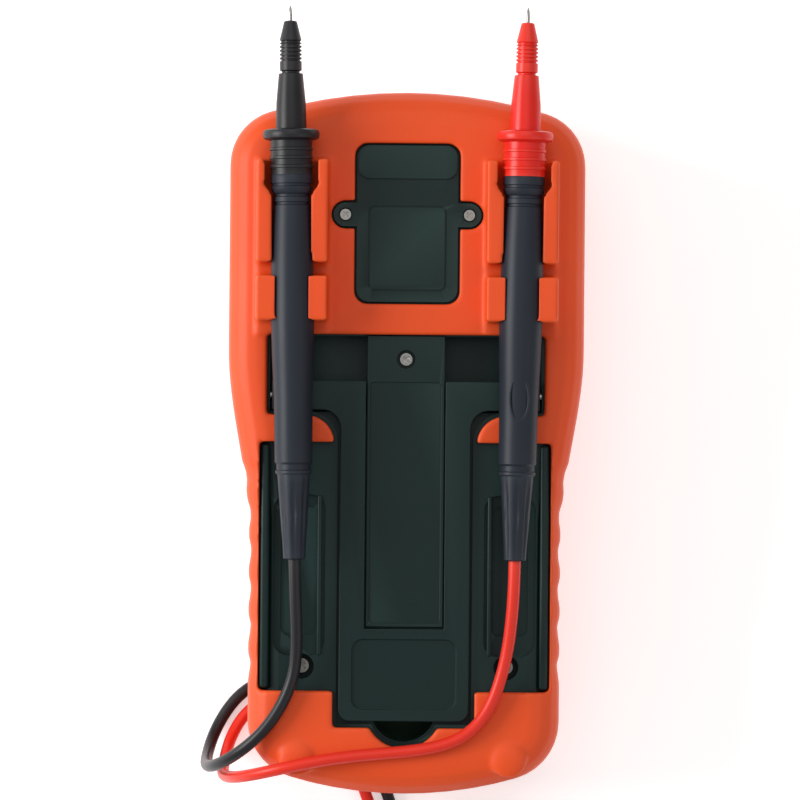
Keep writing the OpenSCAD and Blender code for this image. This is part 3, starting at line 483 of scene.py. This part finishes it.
def flatten_large_faces(piece):
    """Shades faces flat where they are large or square to an axis. Bevels stay smooth."""
    mesh = piece.data
    normals = [corner.vector.copy() for corner in mesh.corner_normals]
    for face in mesh.polygons:
        if face.area > LARGE_FACE or max(abs(part) for part in face.normal) > SQUARE_ON:
            for corner in face.loop_indices:
                normals[corner] = face.normal.copy()
    mesh.normals_split_custom_set(normals)


def bevelled(node, width):
    """A copy of a plastic or metal part with narrow round edges."""
    piece = clean_copy(node, "_moulding", merge_flat=True)
    applied(piece, "rounded_edges", "BEVEL", width=width * MM, segments=2,
            limit_method="ANGLE", angle_limit=BEVEL_OVER)
    bpy.ops.object.shade_smooth_by_angle(angle=SMOOTH_UNDER)
    flatten_large_faces(piece)
    return keep(piece, node)


BEVELS = {"rear_case": 0.25, "front_case": 0.25, "battery_cover": 0.3, "tilt_stand": 0.5,
          "jack_bezels": 0.2, "selector_knob": 0.5, "key_power": 0.4, "key_hold": 0.4,
          "key_range": 0.4, "key_light": 0.4, "display_lens": 0.15, "black_tie": 0.3,
          "red_tie": 0.3, "battery": 0.8, "case_screws": 0.1, "hanger_screws": 0.1,
          "battery_cover_screw": 0.1}
for node, width in BEVELS.items():
    piece = bevelled(node, width)
    print(piece.name, len(piece.data.polygons))


# %% [markdown]
# ## Rubber boot
# The boot is one thick soft moulding, and every edge of it is round, the clips included. A
# bevel would have to cope with hundreds of edges that meet at all angles. A voxel remesh gives
# an even skin instead, smoothing rounds its edges by about a millimetre, and decimation thins
# it where it has more triangles than it needs.

# %% Boot
BOOT_VOXEL = 0.6
BOOT_PASSES = 5
BOOT_TRIANGLES = 185000


def softened(node, voxel, passes, triangles):
    """A copy of a soft part with an even skin and round edges."""
    piece = clean_copy(node, "_skin")
    applied(piece, "even_skin", "REMESH", mode="VOXEL", voxel_size=voxel * MM)
    applied(piece, "round_edges", "SMOOTH", factor=0.5, iterations=passes)
    faces = 2 * len(piece.data.polygons)
    if faces > triangles:
        applied(piece, "lighter", "DECIMATE", ratio=triangles / faces)
    bpy.ops.object.shade_smooth()
    return keep(piece, node)


boot_skin = softened("boot", BOOT_VOXEL, BOOT_PASSES, BOOT_TRIANGLES)
print("boot", len(boot_skin.data.polygons))


# %% [markdown]
# ## Test probes
# A probe is turned about one axis, apart from its fluted strain relief. It could be stacked
# from cylinders and cones, but then every groove would need its own solid. One line of
# points, distance along the probe and radius, is spun round the axis instead. A groove or a
# rib is a few points that a small function adds, so the profile stays readable.

# %% Turning tools
SPIN_STEPS = 64
FLUTE_DEPTH = 0.1
TURNED_WELD = 0.001 * MM
TURNED_SMOOTH = math.radians(35)


def step(at, radius, change, half=0.45):
    """A groove, or a rib where change is positive, in a stretch of one radius."""
    return [(at - half, radius), (at - half * 0.6, radius + change),
            (at + half * 0.6, radius + change), (at + half, radius)]


def turned(profile):
    """Spins a profile about the Y axis. The edge that closes it lies on the axis and goes."""
    points = [(profile[0][0], 0)] + profile + [(profile[-1][0], 0)]
    bpy.ops.object.select_all(action="DESELECT")
    bpy.ops.mesh.primitive_circle_add(vertices=len(points), fill_type="NOTHING")
    piece = bpy.context.object
    for vertex, (along, radius) in zip(piece.data.vertices, points):
        vertex.co = (radius * MM, along * MM, 0)
    for edge in piece.data.edges:
        edge.select = set(edge.vertices) == {0, len(points) - 1}
    for vertex in piece.data.vertices:
        vertex.select = False
    bpy.ops.object.mode_set(mode="EDIT")
    bpy.ops.mesh.select_mode(type="EDGE")
    bpy.ops.mesh.delete(type="EDGE")
    bpy.ops.mesh.select_mode(type="VERT")
    bpy.ops.mesh.select_all(action="SELECT")
    bpy.ops.mesh.spin(steps=SPIN_STEPS, angle=2 * math.pi, center=(0, 0, 0), axis=(0, 1, 0))
    bpy.ops.mesh.select_all(action="SELECT")
    bpy.ops.mesh.remove_doubles(threshold=TURNED_WELD)
    bpy.ops.mesh.normals_make_consistent(inside=False)
    bpy.ops.object.mode_set(mode="OBJECT")
    return piece


def fluted(piece, profile, flutes):
    """Pinches a turned piece into flutes that fade out at both ends."""
    low, high = profile[0][0], profile[-1][0]
    for vertex in piece.data.vertices:
        share = (vertex.co.y / MM - low) / (high - low)
        fade = max(0, 4 * share * (1 - share))
        angle = math.atan2(vertex.co.z, vertex.co.x)
        pinch = 1 - FLUTE_DEPTH * fade * max(0, math.cos(flutes * angle))
        vertex.co.x *= pinch
        vertex.co.z *= pinch


# %% [markdown]
# From the tip down, a probe is a thin needle, a nose with a ribbed cap and a wide guard that
# stops the fingers, a waisted handle with three grooves below the guard, and a tapered strain
# relief. The radii follow the grip that the clips are made for. Each list runs along the
# probe, so one number moves one feature.

# %% Probe profiles, in millimetres
needle_profile = [(13, 0.5), (62.2, 0.5), (63.6, 0.4), (64.7, 0.06)]
cap_ribs = [point for i in range(5) for point in step(49.9 + 1.04 * i, 2.95, -0.4, 0.3)]
nose_profile = ([(19.15, 5.55)] + step(21.3, 5.6, 0.25) + step(23.7, 5.6, 0.25)
                + step(26, 5.6, 0.25)
                + [(28.3, 5.65), (28.6, 6.9), (29.0, 7.45), (29.6, 7.6), (30.4, 7.6),
                   (31, 7.4), (31.3, 6.8), (31.6, 4.15), (38.5, 3.97), (46.3, 3.25),
                   (46.5, 2.4), (46.9, 2.4), (47.2, 2.95)]
                + cap_ribs
                + [(54.5, 2.95), (54.7, 2.6), (55.0, 2.6), (55.3, 2.95), (60.3, 1.75),
                   (60.5, 1.4)])
handle_profile = ([(-61.3, 4.6), (-60.9, 4.95), (-60.3, 4.95), (-60, 4.65), (-58.6, 4.65),
                   (-58, 5.1), (-50, 5.15), (-41, 5.2), (-30, 5.6), (-20, 5.85), (-6, 5.7),
                   (4, 5.3)]
                  + step(11.4, 4.95, -0.3, 0.5) + step(13.6, 4.95, -0.3, 0.5)
                  + [(14.4, 5.2), (15.4, 5.5)] + step(16.4, 5.58, -0.3, 0.5)
                  + [(18.7, 5.6), (19.15, 5.45)])
relief_profile = [(-84.1, 2.5), (-83.8, 3.0), (-80, 3.2), (-76, 3.5), (-72, 3.75),
                  (-68, 4.0), (-64, 4.3), (-61.3, 4.45)]
RELIEF_FLUTES = 8
PROBE_PARTS = {"needle": needle_profile, "nose": nose_profile, "handle": handle_profile,
               "relief": relief_profile}
print("profile points", {part: len(profile) for part, profile in PROBE_PARTS.items()})


# %% [markdown]
# The two probes are alike, so each part is turned once and copied, and each copy has a mesh of
# its own. They lie in the clips with their tips leaning a little away from each other. A
# mirrored copy would save the second placing, but it turns a mesh inside out, so both copies
# are turned and moved into place.

# %% Both probes
PROBE_LEAN = math.radians(0.9)
PROBE_X = 30.95
TIP_REACH = needle_profile[-1][0]
probe_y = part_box("black_needle")[1][1] / MM - TIP_REACH
probe_z = middle("black_handle").z / MM
blanks = {part: turned(profile) for part, profile in PROBE_PARTS.items()}
fluted(blanks["relief"], relief_profile, RELIEF_FLUTES)
for colour, side in (("black", -1), ("red", 1)):
    place = Matrix.Translation(Vector((side * PROBE_X, probe_y, probe_z)) * MM)
    place = place @ Matrix.Rotation(-side * PROBE_LEAN, 4, "Z")
    for part, blank in blanks.items():
        piece = bpy.data.objects.new(colour + "_" + part + "_turned", blank.data.copy())
        bpy.context.collection.objects.link(piece)
        piece.data.transform(place)
        only(piece)
        bpy.ops.object.shade_smooth_by_angle(angle=TURNED_SMOOTH)
        piece.data.materials.append(FINISHES[slot_of[colour + "_" + part]])
        keep(piece, colour + "_" + part)
        print(piece.name, len(piece.data.polygons))
for blank in blanks.values():
    bpy.data.objects.remove(blank)


# %% [markdown]
# The red handle has an oval pad for the thumb, with a low rim round it. It could be cut into
# the handle, but the handle is turned and a cut would spoil its clean rings. A thin stretched
# ring that stands a quarter of a millimetre proud gives the same edge. A small rounded block
# is the other shape that the next steps share.

# %% Small added mouldings
RING_THIN = 0.12


def bar(name, low, high, bevel, slot, body="meter"):
    """A block with rounded edges between two corners, in millimetres."""
    bpy.ops.object.select_all(action="DESELECT")
    bpy.ops.mesh.primitive_cube_add(size=1)
    piece = bpy.context.object
    piece.name = name
    size = [(b - a) * MM for a, b in zip(low, high)]
    centre = (Vector(low) + Vector(high)) / 2 * MM
    piece.data.transform(Matrix.Translation(centre) @ Matrix.Diagonal((*size, 1)))
    applied(piece, "rounded_edges", "BEVEL", width=bevel * MM, segments=4)
    bpy.ops.object.shade_smooth_by_angle(angle=SMOOTH_UNDER)
    piece.data.materials.append(FINISHES[slot])
    return keep(piece, slot=slot, body=body)


def oval_ring(name, centre, half_x, half_y, thick, slot):
    """A flat oval ring, in millimetres."""
    bpy.ops.object.select_all(action="DESELECT")
    bpy.ops.mesh.primitive_torus_add(major_radius=1, minor_radius=RING_THIN,
                                     major_segments=48, minor_segments=10)
    piece = bpy.context.object
    piece.name = name
    scale = Vector((half_x, half_y, thick / (2 * RING_THIN))) * MM
    piece.data.transform(Matrix.Translation(Vector(centre) * MM) @ Matrix.Diagonal((*scale, 1)))
    bpy.ops.object.shade_smooth()
    piece.data.materials.append(FINISHES[slot])
    return keep(piece, slot=slot, body="meter")


PAD_ALONG = -40.5
PAD_HEIGHT = 4.95
pad_centre = (PROBE_X + PAD_ALONG * math.sin(PROBE_LEAN),
              probe_y + PAD_ALONG * math.cos(PROBE_LEAN), probe_z + PAD_HEIGHT)
rim = oval_ring("thumb_pad_rim", pad_centre, 2.5, 6, 0.5, "handle_rubber")
print(rim.name, len(rim.data.polygons))


# %% [markdown]
# ## Side panels
# Beside the stand the shell shows through the boot. Each panel has a soft strip along the
# boot's wall and a low ridge along its inner side, which catch the light as long thin lines.
# A bump in the finish would draw the same lines from above, but it would be flat from the
# side, so both are solid. They are sunk a little into the shell, so no gap shows under them.

# %% Panel strips and ridges
SUNK = 0.6
PANEL_BARS = (("strip", (36.6, 39.0), (-77.6, -11.4), 1.1, 0.8),
              ("ridge", (22.4, 23.6), (-68.6, -25.4), 0.5, 0.4))
case_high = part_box("rear_case")[1][2] / MM
for hand, side in (("left", -1), ("right", 1)):
    for name, across, along, proud, bevel in PANEL_BARS:
        left, right = sorted(side * x for x in across)
        bar(hand + "_panel_" + name, (left, along[0], case_high - SUNK),
            (right, along[1], case_high + proud), bevel, "case_green")
print("shell's back at z", round(case_high, 2))


# %% [markdown]
# ## Front
# The dial has an even ring of ticks round the selector, with a longer one at every third
# place, and the knob carries a white pointer. Ticks could be printed by the finish, but as
# thin solids they stay crisp and reach the exported mesh. A long and a short one are modelled
# once, copied round the knob and joined into one piece on the shell.

# %% Dial ticks
TICKS = 21
LONG_EVERY = 3
SWEEP = math.radians(300)
TICK_REACH = {True: 3.4, False: 2.0}
TICK_WIDE, TICK_THICK, TICK_GAP, TICK_SUNK = 0.6, 0.3, 1.6, 0.02
knob_low_corner, knob_high_corner = (Vector(corner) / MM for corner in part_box("selector_knob"))
knob_centre = middle("selector_knob") / MM
knob_reach = (knob_high_corner.x - knob_low_corner.x) / 2
panel_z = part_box("front_case")[0][2] / MM


def tick_blank(reach):
    """A tick that points away from the knob's axis, at the top of the dial."""
    bpy.ops.object.select_all(action="DESELECT")
    bpy.ops.mesh.primitive_cube_add(size=1)
    blank = bpy.context.object
    blank.data.transform(Matrix.Diagonal((TICK_WIDE * MM, reach * MM, TICK_THICK * MM, 1)))
    outwards = knob_reach + TICK_GAP + reach / 2
    blank.data.transform(Matrix.Translation((0, outwards * MM, 0)))
    return blank


tick_blanks = {is_long: tick_blank(reach) for is_long, reach in TICK_REACH.items()}
dial_centre = Matrix.Translation(Vector((knob_centre.x, knob_centre.y, panel_z - TICK_SUNK)) * MM)
ticks = []
for i in range(TICKS):
    angle = SWEEP * (i / (TICKS - 1) - 0.5)
    tick = bpy.data.objects.new("tick", tick_blanks[i % LONG_EVERY == 0].data.copy())
    bpy.context.collection.objects.link(tick)
    tick.data.transform(dial_centre @ Matrix.Rotation(angle, 4, "Z"))
    ticks.append(tick)
for blank in tick_blanks.values():
    bpy.data.objects.remove(blank)
only(ticks[0])
for tick in ticks:
    tick.select_set(True)
bpy.ops.object.join()
dial = bpy.context.object
dial.name = "dial_ticks"
finish("white_print", (0.8, 0.8, 0.78), (0.74, 0.74, 0.72), (0.85, 0.85, 0.83),
       rough=(0.5, 0.6), grain_mm=0.004)
dial.data.materials.append(FINISHES["white_print"])
keep(dial, slot="case_dark", body="meter")
print("ticks", TICKS)


# %% [markdown]
# The pointer is a white bar let into the knob's face. It could be a painted line, but it has
# to turn with the knob and show at a low angle too. So it is a small rounded block that rides
# on the knob's own body.

# %% Knob pointer
POINTER_START, POINTER_MARGIN = 6, 2
POINTER_HALF, POINTER_PROUD, POINTER_DEEP = 0.6, 0.12, 0.3
pointer = bar("knob_pointer",
              (-POINTER_HALF, knob_centre.y + POINTER_START, knob_low_corner.z - POINTER_PROUD),
              (POINTER_HALF, knob_centre.y + knob_reach - POINTER_MARGIN,
               knob_low_corner.z + POINTER_DEEP),
              0.1, "black_plastic", body=body_of["selector_knob"])
pointer.data.materials[0] = FINISHES["white_print"]
print(pointer.name, len(pointer.data.polygons))
